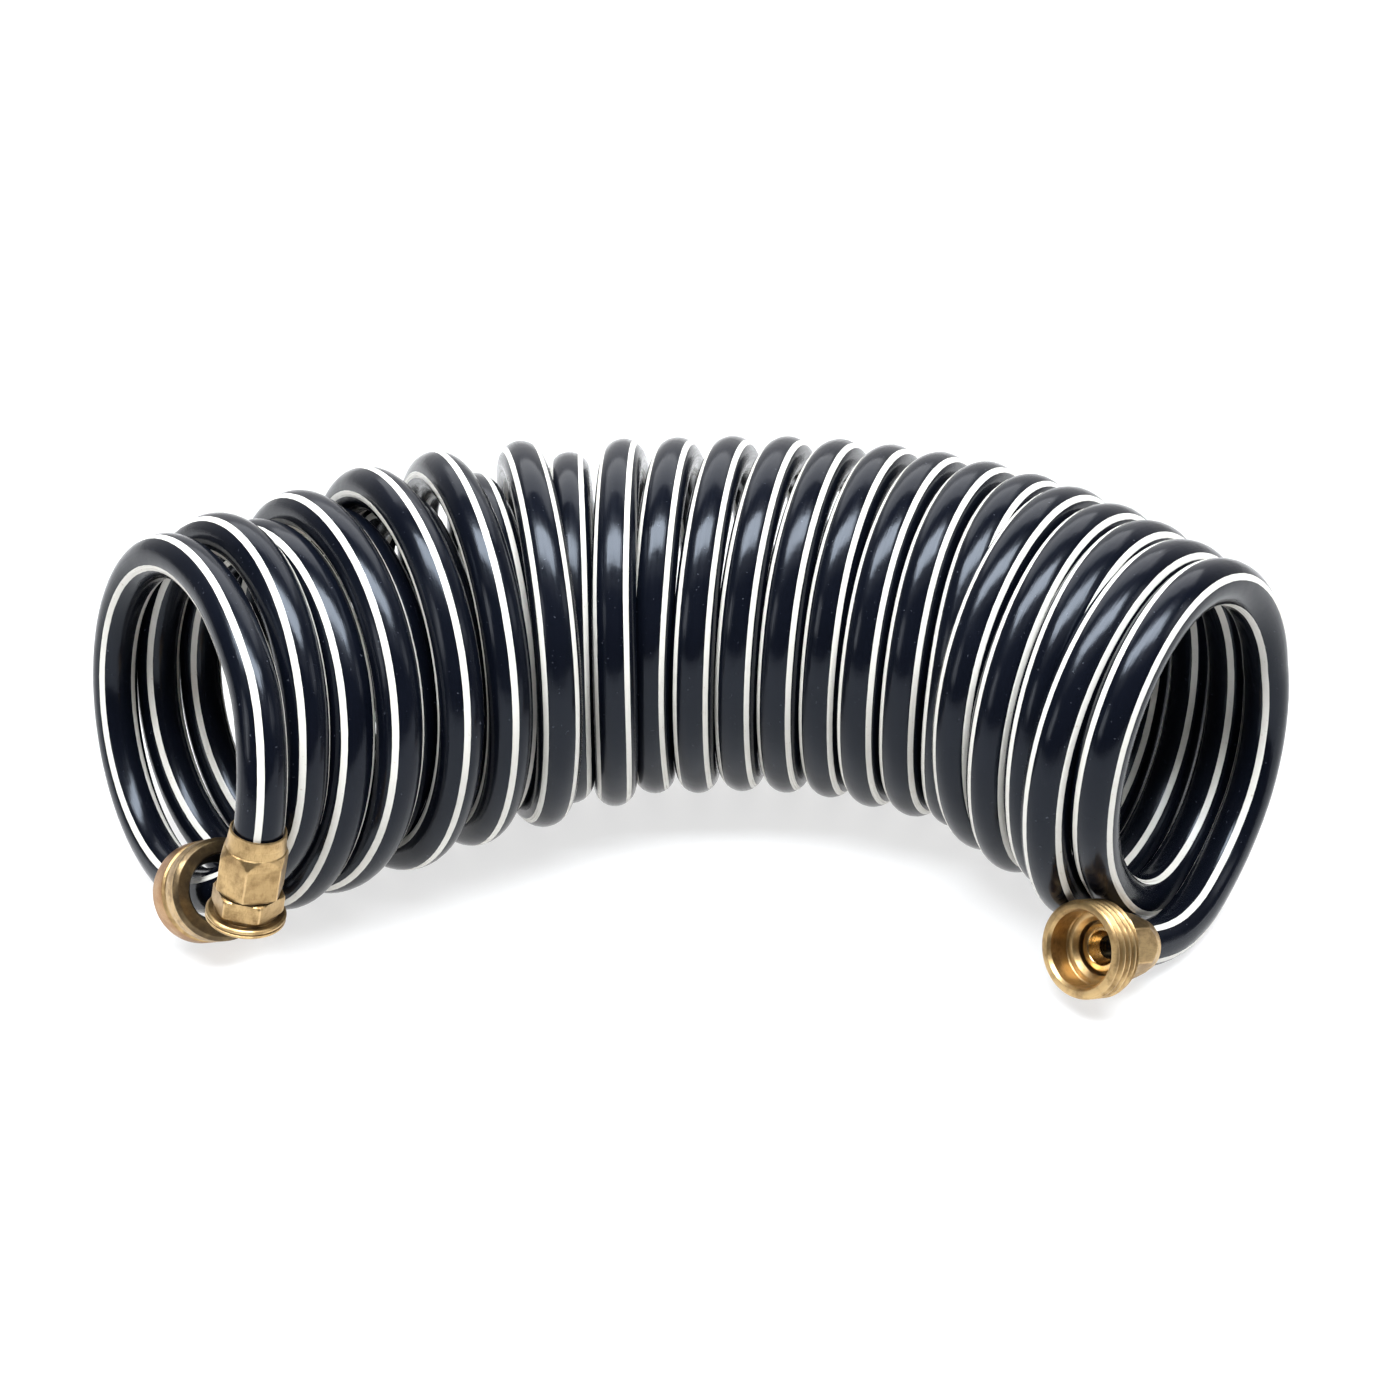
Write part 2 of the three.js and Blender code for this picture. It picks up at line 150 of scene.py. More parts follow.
def directions(heading, lean):
    """Unit vectors of a turn: towards its front, along the coil's axis, and up in its own plane."""
    heading, lean = np.radians(heading), np.radians(lean)
    zero = 0 * heading
    front = np.stack([np.sin(heading), -np.cos(heading), zero], -1)
    along = np.stack([np.cos(heading), np.sin(heading), zero], -1)
    up = along * np.sin(lean)[..., None] + np.stack([zero, zero, np.cos(lean)], -1)
    return front, along, up


def coil(turn):
    """Centre of the hose at these turns, and the centre of each turn."""
    turn = np.atleast_1d(np.asarray(turn, float))
    x, y, heading, lean = rows_at(turn).T
    share = np.exp(-(((turn - PROUD_TURN) / PROUD_SPREAD) ** 4))
    radius = COIL_RADIUS - PROUD * share * np.cos(np.pi * turn)
    front, along, up = directions(heading, lean)
    centre = np.stack([x, y, radius * up[:, 2] + HOSE_RADIUS + FLOOR_GAP], 1)
    angle = 2 * np.pi * turn[:, None]
    hose = centre + radius[:, None] * (front * np.cos(angle) + up * np.sin(angle))
    for place, spread, sideways, forward, upward in SHIFTS:
        share = np.exp(-(((turn - place) / spread) ** 2))[:, None]
        hose = hose + share * (sideways * along + forward * front + upward * up)
    at_back = (0.5 - 0.5 * np.cos(2 * np.pi * turn)) ** 2
    gape = GAPE * np.clip((GAPE_END - turn) / (GAPE_END - GAPE_START), 0, 1)
    gape *= np.clip((turn - GAPE_START) / GAPE_FADE, 0, 1) * at_back
    hose = hose + gape[:, None] * along
    return hose, centre


LOOP_FRONT, LOOP_ALONG, LOOP_UP = directions(np.array(LOOP_HEADING), np.array(LOOP_LEAN))


def loop_point(degrees):
    """Centre of the hose on the first loop."""
    a = np.radians(degrees)
    return LOOP_CENTRE + LOOP_RADIUS * (LOOP_FRONT * np.cos(a) + LOOP_UP * np.sin(a))


def loop_direction(degrees):
    """Way of the hose on the first loop."""
    a = np.radians(degrees)
    return LOOP_UP * np.cos(a) - LOOP_FRONT * np.sin(a)


def join(turn):
    """From the flat first loop sideways into the coil."""
    t = min(max((turn - JOIN_START) / (JOIN_END - JOIN_START), 0.0), 1.0)
    share = t * t * (3 - 2 * t)
    bulge = BULGE * math.exp(-(((turn - BULGE_TURN) / BULGE_SPREAD) ** 2))
    return loop_point(360 * turn) * (1 - share) + coil(turn)[0][0] * share + bulge * LOOP_ALONG


def hose_line():
    """The hose's centre line from the stem coupling to the socket."""
    stem_places = (STEM_HOSE_START, STEM_LENGTH - 6, STEM_LENGTH + 1)
    points = [STEM_FACE + d * STEM_AXIS for d in stem_places]
    points += [np.array(p, float) for p in FIRST_STRETCH]
    points += [loop_point(a) for a in LOOP_ANGLES]
    join_turns = np.arange(JOIN_START + JOIN_STEP, JOIN_END + JOIN_STEP / 2, JOIN_STEP)
    points += [join(t) for t in join_turns]
    points += list(coil(np.arange(COIL_START, COIL_END, ROUTE_STEP))[0])
    points += [np.array(p, float) for p in LAST_STRETCH]
    socket_places = (SOCKET_LENGTH + 1, SOCKET_LENGTH - 5, SOCKET_HOSE_START)
    points += [SOCKET_FACE + d * SOCKET_AXIS for d in socket_places]
    return chordal_spline(points, HOSE_STEP)


def soften(values, times):
    """Each value drawn towards its neighbours along the hose."""
    for _ in range(times):
        padded = np.vstack([values[:1], values, values[-1:]])
        values = (padded[:-2] + 2 * padded[1:-1] + padded[2:]) / 4
    return values


TURN_STEPS = 2 * math.pi * COIL_RADIUS / HOSE_STEP
SETTLE_ROUNDS = 140
# Room left between two turns, and between a turn and a brass piece.
HOSE_SPACE, BRASS_SPACE = 0.05, 0.3
# In turns: the stretch at each end that stays put, and the stretch beside it where that fades out.
HELD_START, FADE_START, HELD_END, FADE_END = 1.2, 0.4, 0.42, 0.2
# In turns: how far along the hose from a place the hose beside it lies.
NEAREST, FARTHEST = 0.6, 2.4


def settle(start):
    """Moves the hose where two turns, or a turn and a brass piece, would share the same space."""
    number = np.arange(len(start))
    to_go = len(start) - number
    free = np.clip((number - HELD_START * TURN_STEPS) / (FADE_START * TURN_STEPS), 0, 1)
    free = free * np.clip((to_go - HELD_END * TURN_STEPS) / (FADE_END * TURN_STEPS), 0, 1)
    half_nut = NUT_LENGTH / 2
    bars = [
        (loop_point(NUT_ANGLE), loop_direction(NUT_ANGLE), -half_nut, half_nut, NUT_RADIUS),
        (STEM_FACE, STEM_AXIS, 0, STEM_LENGTH, FLANGE_RADIUS),
        (SOCKET_FACE, SOCKET_AXIS, 0, THREAD_LENGTH, SOCKET_RADIUS),
    ]
    apart = 2 * HOSE_RADIUS + HOSE_SPACE
    shift = np.zeros_like(start)
    for _ in range(SETTLE_ROUNDS):
        p = start + shift
        move, count = np.zeros_like(p), np.zeros(len(p))
        for k in range(int(NEAREST * TURN_STEPS), int(FARTHEST * TURN_STEPS)):
            gap = p[k:] - p[:-k]
            size = np.linalg.norm(gap, axis=1)
            close = size < apart
            push = np.where(close, (apart - size) / 2 / np.maximum(size, 1e-6), 0)[:, None] * gap
            move[k:] += push
            move[:-k] -= push
            count[k:] += close
            count[:-k] += close
        move /= np.maximum(count, 1)[:, None]
        for base, axis, low, high, radius in bars:
            along = (p - base) @ axis
            across = p - base - along[:, None] * axis
            size = np.linalg.norm(across, axis=1)
            gap = across * (np.maximum(size - radius, 1e-3) / np.maximum(size, 1e-6))[:, None]
            gap += (along - np.clip(along, low, high))[:, None] * axis
            distance = np.linalg.norm(gap, axis=1)
            need = np.maximum(HOSE_RADIUS + BRASS_SPACE - distance, 0)
            move += (need / distance)[:, None] * gap
        shift = soften(shift + move * free[:, None], 3) * (free > 0)[:, None]
        shift[:, 2] = np.maximum(shift[:, 2], HOSE_RADIUS + FLOOR_GAP - start[:, 2])
    return start + shift


# ---- Mesh helpers ----
def add_object(name, verts, faces, uv, material, body, smooth_angle=32):
    """A mesh in millimetres with one UV per face corner, riding on a body."""
    mesh = bpy.data.meshes.new(name)
    mesh.from_pydata((np.asarray(verts) * MM).tolist(), [], faces)
    layer = mesh.uv_layers.new(name="UVMap")
    layer.data.foreach_set("uv", np.asarray(uv, float).ravel())
    mesh.polygons.foreach_set("use_smooth", [True] * len(mesh.polygons))
    mesh.set_sharp_from_angle(angle=math.radians(smooth_angle))
    mesh.materials.append(material)
    obj = bpy.data.objects.new(name, mesh)
    bpy.context.scene.collection.objects.link(obj)
    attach(obj, body)
    return obj


def grid_faces(rows, columns, closed_rows):
    """Quads of a grid whose columns close on themselves, with a UV for each corner."""
    faces, uv = [], []
    last = rows if closed_rows else rows - 1
    for i in range(last):
        j = (i + 1) % rows
        for k in range(columns):
            m = (k + 1) % columns
            faces.append((i * columns + k, i * columns + m, j * columns + m, j * columns + k))
            uv.append(((i, k), (i, k + 1), (i + 1, k + 1), (i + 1, k)))
    return faces, np.array(uv, float)


# ---- The hose as a tube ----
HOSE_SIDES = 28
# Degrees from the outward line of each turn to the nearest stripe. The four stripes are 90 apart.
STRIPE_TURNS = (0, 1, 2, 3, 4, 5, 7, 8, 9, 11, 13, 15, 19, 24, 25)
STRIPE_ANGLES = (-25, -40, -50, -45, -30, -13, -8, 18, 41, 33, 43, 41, 48, 60, 60)


def hose_tube(line, centres, turns, material):
    """The tube along the line, facing away from the centres. UV X counts the stripes round it."""
    tangent = np.gradient(line, axis=0)
    tangent /= np.linalg.norm(tangent, axis=1)[:, None]
    outward = line - centres
    outward -= (outward * tangent).sum(1)[:, None] * tangent
    outward = soften(outward, 6)
    outward -= (outward * tangent).sum(1)[:, None] * tangent
    outward /= np.linalg.norm(outward, axis=1)[:, None]
    aside = np.cross(tangent, outward)
    angle = np.arange(HOSE_SIDES) * 2 * np.pi / HOSE_SIDES
    ring = outward[:, None, :] * np.cos(angle)[None, :, None]
    ring = ring + aside[:, None, :] * np.sin(angle)[None, :, None]
    ring = ring[:, ::-1, :]  # so that the faces look outwards
    verts = (line[:, None, :] + HOSE_RADIUS * ring).reshape(-1, 3)
    faces, cells = grid_faces(len(line), HOSE_SIDES, False)
    twist = np.interp(turns, STRIPE_TURNS, STRIPE_ANGLES)
    row = cells[..., 0].astype(int)
    degrees = 360 - (cells[..., 1] + 1) * 360 / HOSE_SIDES - twist[row]
    uv = np.stack([degrees / 90 + 0.5, row * HOSE_STEP / 100], -1).reshape(-1, 2).tolist()
    sides, last = range(HOSE_SIDES), len(verts) - HOSE_SIDES
    for cap in (sides[::-1], [last + k for k in sides]):
        faces.append(tuple(cap))
        uv += [(0.0, 0.0)] * HOSE_SIDES
    return add_object("hose_tube", verts, faces, uv, material, "hose", 60)


# ---- Materials ----
class Nodes:
    """A material's node tree with short ways to add and link nodes."""

    def __init__(self, name):
        self.material = bpy.data.materials.new(name)
        self.material.use_nodes = True
        self.tree = self.material.node_tree
        self.shader = self.tree.nodes["Principled BSDF"]

    def add(self, kind, inputs=(), **settings):
        node = self.tree.nodes.new(kind)
        for key, value in settings.items():
            setattr(node, key, value)
        for key, value in dict(inputs).items():
            if isinstance(value, bpy.types.NodeSocket):
                self.tree.links.new(value, node.inputs[key])
            else:
                node.inputs[key].default_value = value
        return node

    def math(self, operation, a, b=0.0):
        return self.add("ShaderNodeMath", {0: a, 1: b}, operation=operation).outputs[0]

    def ramp(self, value, low, high, out_low=0.0, out_high=1.0):
        """A smooth step from one value to another."""
        inputs = {"Value": value, "From Min": low, "From Max": high}
        inputs.update({"To Min": out_low, "To Max": out_high})
        node = self.add("ShaderNodeMapRange", inputs, interpolation_type="SMOOTHSTEP")
        return node.outputs["Result"]

    def mix(self, share, a, b):
        """Colour a, or b where the share is 1."""
        node = self.add("ShaderNodeMix", {"Factor": share}, data_type="RGBA")
        for index, value in ((6, a), (7, b)):
            if isinstance(value, bpy.types.NodeSocket):
                self.tree.links.new(value, node.inputs[index])
            else:
                node.inputs[index].default_value = (*value, 1.0)
        return node.outputs[2]

    def noise(self, vector, scale, detail=3.0, roughness=0.5):
        inputs = {"Vector": vector, "Scale": scale, "Detail": detail, "Roughness": roughness}
        return self.add("ShaderNodeTexNoise", inputs).outputs["Fac"]

    def scaled(self, vector, x, y, z):
        inputs = {"Vector": vector, "Scale": (x, y, z)}
        return self.add("ShaderNodeMapping", inputs).outputs["Vector"]

    def bump(self, height, strength, distance, normal=None):
        inputs = {"Height": height, "Strength": strength, "Distance": distance}
        if normal is not None:
            inputs["Normal"] = normal
        return self.add("ShaderNodeBump", inputs).outputs["Normal"]

    def link(self, value, name):
        self.tree.links.new(value, self.shader.inputs[name])

    def set(self, **values):
        for name, value in values.items():
            self.shader.inputs[name.replace("_", " ")].default_value = value


def hose_material():
    """Glossy blue-black tube with cream stripes, at each half of UV X, a little dust and cloudiness."""
    n = Nodes("polyurethane")
    place = n.add("ShaderNodeTexCoord")
    uv = n.add("ShaderNodeSeparateXYZ", {"Vector": place.outputs["UV"]})
    around = n.math("FRACT", uv.outputs["X"])
    off = n.math("ABSOLUTE", n.math("SUBTRACT", around, 0.5))
    wander = n.noise(n.scaled(place.outputs["UV"], 1, 6, 1), 3.0, 2.0)
    edge = n.math("ADD", off, n.math("MULTIPLY", n.math("SUBTRACT", wander, 0.5), 0.014))
    stripe = n.ramp(edge, 0.088, 0.098, 1.0, 0.0)
    streak = n.noise(n.scaled(place.outputs["UV"], 14, 2.5, 1), 1.0, 5.0, 0.6)
    cloud = n.noise(place.outputs["Object"], 42.0, 4.0)
    specks = n.noise(place.outputs["Object"], 900.0, 2.0)
    dark = n.mix(cloud, (0.0016, 0.0022, 0.0045), (0.0040, 0.0052, 0.0095))
    cream = n.mix(cloud, (0.66, 0.64, 0.58), (0.76, 0.74, 0.69))
    cream = n.mix(n.ramp(specks, 0.66, 0.78), cream, (0.55, 0.50, 0.42))
    dusty = n.mix(n.ramp(specks, 0.70, 0.80, 0.0, 0.5), dark, (0.10, 0.11, 0.13))
    n.link(n.mix(stripe, dusty, cream), "Base Color")
    rough = n.ramp(streak, 0.3, 0.75, 0.10, 0.20)
    rough = n.math("ADD", rough, n.ramp(cloud, 0.35, 0.8, 0.0, 0.08))
    n.link(n.math("ADD", rough, n.math("MULTIPLY", stripe, 0.12)), "Roughness")
    seam = n.ramp(edge, 0.080, 0.106)
    seam = n.math("MULTIPLY", seam, n.ramp(edge, 0.106, 0.135, 1.0, 0.85))
    normal = n.bump(seam, 0.35, 0.00012)
    normal = n.bump(streak, 0.10, 0.0006, normal)
    normal = n.bump(n.noise(place.outputs["Object"], 70.0, 3.0), 0.12, 0.0016, normal)
    n.link(normal, "Normal")
    n.set(Specular_IOR_Level=0.25, Specular_Tint=(0.80, 0.88, 1.0, 1.0))
    return n.material


def brass_material(name, light, deep, rough_low, rough_high, groove, flats=None, bands=()):
    """Machined brass. UV runs round the piece in turns and along its outline in centimetres.

    flats is the turn of a hexagon's corners, in sixths, and the stretch of the outline that they
    take; each flat gets a painted shade of its own, and the corners are paler with wear and a
    painted highlight. bands are stretches of the outline in another colour, most of them painted
    shade: low and high, colour and strength. Stretches are in millimetres along the outline.
    """
    n = Nodes(name)
    place = n.add("ShaderNodeTexCoord")
    patina = n.noise(place.outputs["Object"], 210.0, 5.0, 0.62)
    broad = n.noise(place.outputs["Object"], 70.0, 3.0)
    lathe = n.noise(n.scaled(place.outputs["UV"], 1.6, 46, 1), 1.0, 6.0, 0.75)
    fine = n.noise(n.scaled(place.outputs["UV"], 2.5, 150, 1), 1.0, 3.0, 0.7)
    grain = n.noise(place.outputs["Object"], 1900.0, 2.0)
    colour = n.mix(n.ramp(patina, 0.42, 0.72), light, deep)
    colour = n.mix(n.ramp(broad, 0.45, 0.75, 0.0, 0.45), colour, deep)
    pale = tuple(min(1.0, 1.12 * v + 0.03) for v in light)
    colour = n.mix(n.ramp(lathe, 0.50, 0.72, 0.0, 0.55), colour, pale)
    colour = n.mix(n.ramp(grain, 0.62, 0.80, 0.0, 0.35), colour, (0.30, 0.17, 0.06))
    uv = n.add("ShaderNodeSeparateXYZ", {"Vector": place.outputs["UV"]})

    def stretch(low, high):
        """1 between these millimetres of the outline, and 0 elsewhere."""
        after = n.ramp(uv.outputs["Y"], low / 10 - 0.02, low / 10 + 0.02)
        before = n.ramp(uv.outputs["Y"], high / 10 - 0.02, high / 10 + 0.02, 1.0, 0.0)
        return n.math("MULTIPLY", after, before)

    # Each band mixes in its colour; the bands given below are mostly painted shade.
    for low, high, band_colour, strength in bands:
        uneven = n.ramp(patina, 0.2, 0.6, 0.7 * strength, strength)
        colour = n.mix(n.math("MULTIPLY", stretch(low, high), uneven), colour, band_colour)
    if flats is not None:
        on_flats = stretch(flats[1], flats[2])
        sixth = n.math("ADD", n.math("MULTIPLY", uv.outputs["X"], 6.0), flats[0])
        whole = {"W": n.math("FLOOR", sixth)}
        number = n.add("ShaderNodeTexWhiteNoise", whole, noise_dimensions="1D")
        # Painted shade: each flat is darkened by its own random amount, standing in for the flats'
        # differing reflections.
        shade = n.ramp(number.outputs["Value"], 0.1, 0.9, 0.0, 0.55)
        colour = n.mix(n.math("MULTIPLY", shade, on_flats), colour, deep)
        # The corners of the flats are painted paler: partly wear, partly a painted highlight along the
        # edges.
        corner = n.math("ABSOLUTE", n.math("SUBTRACT", n.math("FRACT", sixth), 0.5))
        corner_wear_and_highlight = n.math("MULTIPLY", n.ramp(corner, 0.455, 0.49), n.ramp(broad, 0.3, 0.6, 0.35, 0.9))
        colour = n.mix(n.math("MULTIPLY", corner_wear_and_highlight, on_flats), colour, pale)
        mill = n.noise(n.scaled(place.outputs["UV"], 130, 4, 1), 1.0, 4.0, 0.7)
        colour = n.mix(n.ramp(mill, 0.48, 0.70, 0.0, 0.5), colour, deep)
    # Painted shade: ambient occlusion darkens crevices, grooves and recesses, more or less with the
    # patina.
    corners = n.add("ShaderNodeAmbientOcclusion", {"Distance": 0.003}, samples=8, only_local=False)
    crevice_shade = n.ramp(corners.outputs["AO"], 0.15, 0.65, 0.75, 0.0)
    crevice_shade = n.math("MULTIPLY", crevice_shade, n.ramp(patina, 0.2, 0.6, 0.6, 1.0))
    colour = n.mix(crevice_shade, colour, BRASS_PAINTED_SHADE)
    n.link(colour, "Base Color")
    rough = n.ramp(patina, 0.3, 0.75, rough_low, rough_high)
    rough = n.math("ADD", rough, n.ramp(lathe, 0.35, 0.7, 0.06, 0.0))
    n.link(rough, "Roughness")
    normal = n.bump(lathe, groove, 0.00022)
    normal = n.bump(fine, groove * 0.6, 0.00010, normal)
    normal = n.bump(grain, 0.10, 0.00008, normal)
    n.link(normal, "Normal")
    n.set(Metallic=1.0)
    return n.material


def rubber_material():
    """Dull black rubber with a grey bloom."""
    n = Nodes("washer_rubber")
    place = n.add("ShaderNodeTexCoord")
    grain = n.noise(place.outputs["Object"], 1500.0, 3.0)
    bloom = n.noise(place.outputs["Object"], 260.0, 3.0)
    colour = n.mix(n.ramp(bloom, 0.4, 0.75), (0.012, 0.012, 0.013), (0.045, 0.043, 0.040))
    n.link(colour, "Base Color")
    n.link(n.ramp(bloom, 0.3, 0.8, 0.55, 0.85), "Roughness")
    n.link(n.bump(grain, 0.35, 0.0001), "Normal")
    return n.material


HOSE = hose_material()
BRASS_LIGHT, BRASS_DEEP = (0.54, 0.375, 0.18), (0.25, 0.16, 0.07)
# Dark brown painted as shade into crevices, grooves, necks and under the clamp nuts.
BRASS_PAINTED_SHADE = (0.09, 0.057, 0.028)
# The nut's dark lip colour and its brown inside colour are painted shade.
NUT_COPPERY, NUT_LIP_SHADE, NUT_INSIDE_SHADE = (0.36, 0.185, 0.075), (0.075, 0.055, 0.035), (0.30, 0.19, 0.09)
INSERT_LIGHT, INSERT_DEEP = (0.66, 0.47, 0.23), (0.38, 0.24, 0.10)
BRASS = brass_material("turned_brass", BRASS_LIGHT, BRASS_DEEP, 0.27, 0.42, 0.24)
BRASS_NUT = brass_material(
    "nut_brass", BRASS_LIGHT, BRASS_DEEP, 0.28, 0.45, 0.20,
    # The second and third bands are painted shade: on the lip's face and hole, and inside the nut.
    bands=[(0.0, 7.1, NUT_COPPERY, 0.85), (15.4, 24.0, NUT_LIP_SHADE, 0.9), (24.0, 60.0, NUT_INSIDE_SHADE, 0.5)],
)
BRASS_STEM = brass_material(
    "stem_brass", BRASS_LIGHT, BRASS_DEEP, 0.26, 0.42, 0.12, flats=(0.0, 13.0, 18.6),
    # Both bands are painted shade: in the flange's groove, and on the flange's top and the neck under
    # the hexagon.
    bands=[(8.0, 8.9, BRASS_PAINTED_SHADE, 0.6), (10.4, 13.2, BRASS_PAINTED_SHADE, 0.7)],
)
BRASS_CLAMP = brass_material(
    "clamp_brass", BRASS_LIGHT, BRASS_DEEP, 0.28, 0.44, 0.10, flats=(0.5, 1.2, 11.0),
    # The band is painted shade on the clamp nut's underside, next to the sleeve.
    bands=[(0.0, 1.6, BRASS_PAINTED_SHADE, 0.8)],
)
BRASS_CLAMP_EVEN = brass_material(
    "even_clamp_brass", BRASS_LIGHT, BRASS_DEEP, 0.28, 0.44, 0.10, flats=(0.0, 1.2, 9.0),
    # The band is painted shade on the clamp nut's underside, next to the sleeve.
    bands=[(0.0, 1.6, BRASS_PAINTED_SHADE, 0.8)],
)
BRASS_BRIGHT = brass_material("bright_brass", INSERT_LIGHT, INSERT_DEEP, 0.14, 0.26, 0.16)
RUBBER = rubber_material()

# ---- The hose ----
FIRST_FRONT = 10  # steps from the hose's start to its first front
LAST_TURN = 24.7
JOINED_FROM, JOINED_OVER = 0.75, 0.3
line = settle(hose_line())
turns = np.maximum(np.arange(len(line)) - FIRST_FRONT, 0) / TURN_STEPS
turns = turns * LAST_TURN / turns[-1]
# The tube faces away from the loop's centre first, and from the coil's once it has joined it.
centres = coil(np.clip(turns, 0.2, 24.6))[1]
joined = np.clip((turns - JOINED_FROM) / JOINED_OVER, 0, 1)[:, None]
centres = LOOP_CENTRE * (1 - joined) + centres * joined
hose = hose_tube(line, centres, turns, HOSE)
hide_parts("coil_body", "first_loop", "last_loop")


# ---- Turned pieces ----
SIDES = 96
ROUND = np.arange(SIDES) * 2 * np.pi / SIDES
CORNER_TURNED_DOWN = 0.985
NEARLY_STRAIGHT = 0.15


def hexagon(across_flats, turn=0.0):
    """Radius of a hexagon with slightly turned-down corners, at each side of the lathe."""
    angle = (ROUND - math.radians(turn)) % (math.pi / 3) - math.pi / 6
    radius = across_flats / 2 / np.cos(angle)
    return np.minimum(radius, CORNER_TURNED_DOWN * across_flats / math.sqrt(3))


def softened(profile, size):
    """The closed outline with a small rounded chamfer at each corner that isn't nearly straight."""
    points = []
    for i, point in enumerate(profile):
        here = np.array(point, float)
        ends = []
        for other in (profile[i - 1], profile[(i + 1) % len(profile)]):
            way = np.array(other, float) - here
            ends.append(here + way * min(size / np.linalg.norm(way), 0.3))
        a, b = ends
        bend = abs(np.cross(b - here, here - a)) / np.linalg.norm(b - here) / np.linalg.norm(here - a)
        if bend < NEARLY_STRAIGHT:
            points.append(point)
        else:
            points += [tuple(a), tuple((a + b + 2 * here) / 4), tuple(b)]
    return points


def spun(name, profile, face, axis, material, replaced, body="hose", smooth=32):
    """A closed outline of (radius, height) turned about the axis; a radius may differ round it."""
    matrix = np.array(Vector((0, 0, 1)).rotation_difference(Vector(axis)).to_matrix())
    rings, length, place = [], [], 0.0
    for radius, height in profile:
        radius = np.broadcast_to(np.asarray(radius, float), ROUND.shape)
        height = np.full(ROUND.shape, float(height))
        ring = np.stack([radius * np.cos(ROUND), radius * np.sin(ROUND), height], 1)
        if rings:
            place += float(np.linalg.norm(ring - rings[-1], axis=1).mean())
        rings.append(ring)
        length.append(place)
    length.append(place + float(np.linalg.norm(rings[0] - rings[-1], axis=1).mean()))
    verts = np.vstack(rings) @ matrix.T + np.asarray(face)
    faces, cells = grid_faces(len(rings), SIDES, True)
    lengths = np.array(length)[cells[..., 0].astype(int)]
    uv = np.stack([cells[..., 1] / SIDES, lengths / 10], -1).reshape(-1, 2)
    piece = add_object(name, verts, faces, uv, material, body, smooth)
    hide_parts(replaced)


THREAD_PITCH = 2.21
THREAD_MINOR, THREAD_STEP = 12.25, 0.17
NUT_THREAD_MINOR, NUT_THREAD_MAJOR, NUT_THREAD_STEP = 12.75, 13.55, 0.2


def thread_radius(height, minor, major, phase=0.0, inside=False):
    """Radius of a right-handed thread at a height, for each side of the lathe."""
    place = (height / THREAD_PITCH - ROUND / (2 * np.pi) + phase) % 1.0
    ridge = np.clip(1.55 * (1 - 2 * np.abs(place - 0.5)) - 0.22, 0, 1)
    ridge = ridge * ridge * (3 - 2 * ridge) * 0.35 + ridge * 0.65
    return minor + (major - minor) * (1 - ridge if inside else ridge)


BARB_ROOT, BARB_CREST, BARB_STEP = 4.0, 4.6, 3.0


def barb(low, high):
    """Outline of a barbed tail, going up."""
    points = [(BARB_ROOT, low)]
    for height in np.arange(low + BARB_STEP, high, BARB_STEP):
        points += [(BARB_CREST, height - 0.3), (BARB_CREST, height), (BARB_ROOT, height + 0.1)]
    points.append((BARB_ROOT, high))
    return points


SCALLOP, TAPER_STEP = 2.9, 0.28
COLLAR_TOP_RADIUS = 7.4


def clamp_nut(hex_low, hex_high, across_flats, top, turn):
    """Hexagon whose upper end is turned down to a taper, which scallops its flats."""
    hex_radius = hexagon(across_flats, turn)
    flat = across_flats / 2
    corner = across_flats / math.sqrt(3)
    points = [(7.5, hex_low + 0.5), (8.0, hex_low)]
    points.append((np.minimum(hex_radius, corner - 0.9), hex_low))
    points.append((np.minimum(hex_radius, corner - 0.3), hex_low + 0.35))
    points.append((hex_radius, hex_low + 0.7))
    points.append((hex_radius, hex_high - 0.4))
    knee = hex_high + SCALLOP
    collar = flat - 0.15
    for height in np.arange(hex_high - 0.2, top - 0.35, TAPER_STEP):
        if height < knee:
            turned = corner + 0.05 - (height - hex_high) * (corner - flat - 0.02) / SCALLOP
        else:
            turned = collar - (height - knee) * (collar - COLLAR_TOP_RADIUS) / (top - knee)
        points.append((np.where(hex_radius < turned, hex_radius, turned - 0.07), height))
    points += [(7.42, top - 0.3), (7.25, top), (6.95, top), (6.7, top - 0.35)]
    points += [(6.7, top - 4.5), (7.5, top - 4.5)]
    return points


# Coupling with the loose nut: stem, insert, sleeve and clamp nut. Heights are from the end face.
STEM_HEX, STEM_CLAMP_HEX, SOCKET_CLAMP_HEX = 16.8, 16.2, 16.4
stem_hex = hexagon(STEM_HEX)
stem_profile = softened([
    (3.5, 0), (10.1, 0), (10.6, 0.45), (10.6, 1.05), (10.15, 1.2), (10.15, 1.4), (10.6, 1.55),
    (10.6, 2.15), (10.1, 2.6), (8.5, 2.6), (8.5, 3.6),
], 0.12)
stem_profile += [
    (np.minimum(stem_hex, 8.7), 3.7), (np.minimum(stem_hex, 9.3), 3.95), (stem_hex, 4.4),
    (stem_hex, 8.5), (np.minimum(stem_hex, 9.25), 8.95), (np.minimum(stem_hex, 8.6), 9.2),
    (7.3, 9.2), (7.2, 9.4), (7.2, 13.9), (6.9, 14.2), (5.2, 14.2), (5.2, 4.8), (3.5, 4.8),
]
spun("stem", stem_profile, STEM_FACE, STEM_AXIS, BRASS_STEM, "swivel_stem", smooth=18)
insert = [(3.2, 5.1), (4.9, 5.1), (4.9, 14.2), *barb(14.2, 26.5), (3.2, 26.5)]
spun("stem_insert", insert, STEM_FACE, STEM_AXIS, BRASS_BRIGHT, "stem_hose_barb")
sleeve = softened([(6.75, 15), (7.2, 15), (7.2, 23.6), (6.75, 23.6)], 0.1)
